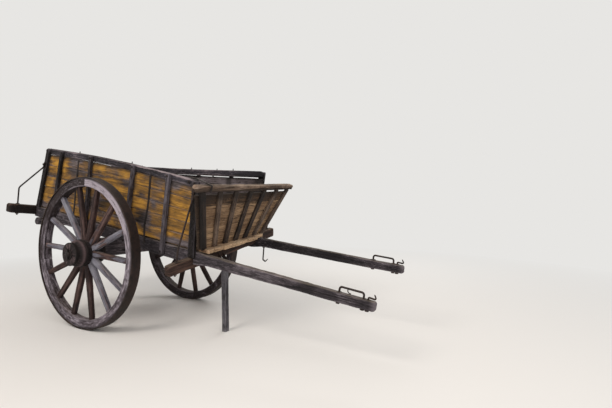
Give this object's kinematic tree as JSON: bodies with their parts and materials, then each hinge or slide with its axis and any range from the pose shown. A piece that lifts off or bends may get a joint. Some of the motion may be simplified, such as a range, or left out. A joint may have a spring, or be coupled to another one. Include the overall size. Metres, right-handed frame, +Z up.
{
  "type": "bullock cart",
  "caption": "Old two-wheeled wooden farm cart with two shafts, spoked iron-tyred wheels, boarded box body with a flared front board, and a hinged prop leg.",
  "frame": {"origin": "bottom centre of the whole cart's box, on the ground", "axes": "+X forward along the shafts, +Y to the cart's left, +Z up"},
  "size_m": [4.6608, 1.914, 2.0216],
  "materials": {
    "frame_timber": "weathered, cracked, charcoal grey",
    "beam_ends": "weathered, reddish brown",
    "rail_timber": "weathered, blue-grey",
    "yellow_boards": "worn ochre paint on boards",
    "brown_boards": "weathered brown",
    "pale_rail": "bare pale timber",
    "floor_timber": "worn, split ends",
    "hub_timber": "dark, greasy",
    "spoke_timber": "worn blue-grey and purple-brown paint",
    "felloe_timber": "weathered grey-lilac",
    "prop_timber": "weathered",
    "tyre_iron": "worn, rusty",
    "forged_iron": "forged, brown rust"
  },
  "bodies": {
    "cart": {"axle": "forged_iron", "axle_bed": "frame_timber", "axle_washers": "forged_iron", "corner_posts_left": "frame_timber", "corner_posts_right": "frame_timber", "corner_stays": "forged_iron", "cross_beam_front": "beam_ends", "cross_beam_rear": "beam_ends", "drop_hook": "forged_iron", "floor_planks": "floor_timber", "front_battens": "brown_boards", "front_boards": "brown_boards", "front_rail": "pale_rail", "joists": "frame_timber", "linch_pins": "forged_iron", "prop_cheeks": "forged_iron", "prop_pin": "forged_iron", "rear_log": "frame_timber", "shaft_hook_left": "forged_iron", "shaft_hook_right": "forged_iron", "shaft_staple_left": "forged_iron", "shaft_staple_right": "forged_iron", "side_beam_left": "frame_timber", "side_beam_right": "frame_timber", "side_boards_left": "yellow_boards", "side_boards_right": "yellow_boards", "side_straps_left": "forged_iron", "side_straps_right": "forged_iron", "tail_battens": "brown_boards", "tail_boards": "brown_boards", "top_rail_left": "rail_timber", "top_rail_right": "rail_timber", "uprights_left": "frame_timber", "uprights_right": "frame_timber"},
    "wheel_right": {"hub_right": "hub_timber", "hub_bands_right": "forged_iron", "spokes_right": "spoke_timber", "felloes_right": "felloe_timber", "tyre_right": "tyre_iron"},
    "wheel_left": {"hub_left": "hub_timber", "hub_bands_left": "forged_iron", "spokes_left": "spoke_timber", "felloes_left": "felloe_timber", "tyre_left": "tyre_iron"},
    "prop": {"prop_leg": "prop_timber"}
  },
  "joints": [
    {"name": "wheel_right_turn", "type": "hinge", "parent": "cart", "child": "wheel_right", "pos_m": [-0.7588, -0.754, 0.8], "axis": [0, 1, 0], "continuous": true},
    {"name": "wheel_left_turn", "type": "hinge", "parent": "cart", "child": "wheel_left", "pos_m": [-0.7588, 0.754, 0.8], "axis": [0, 1, 0], "continuous": true},
    {"name": "prop_swing", "type": "hinge", "parent": "cart", "child": "prop", "pos_m": [0.6062, -0.13, 0.71], "axis": [0, 1, 0], "range_deg": [0, 88]}
  ]
}
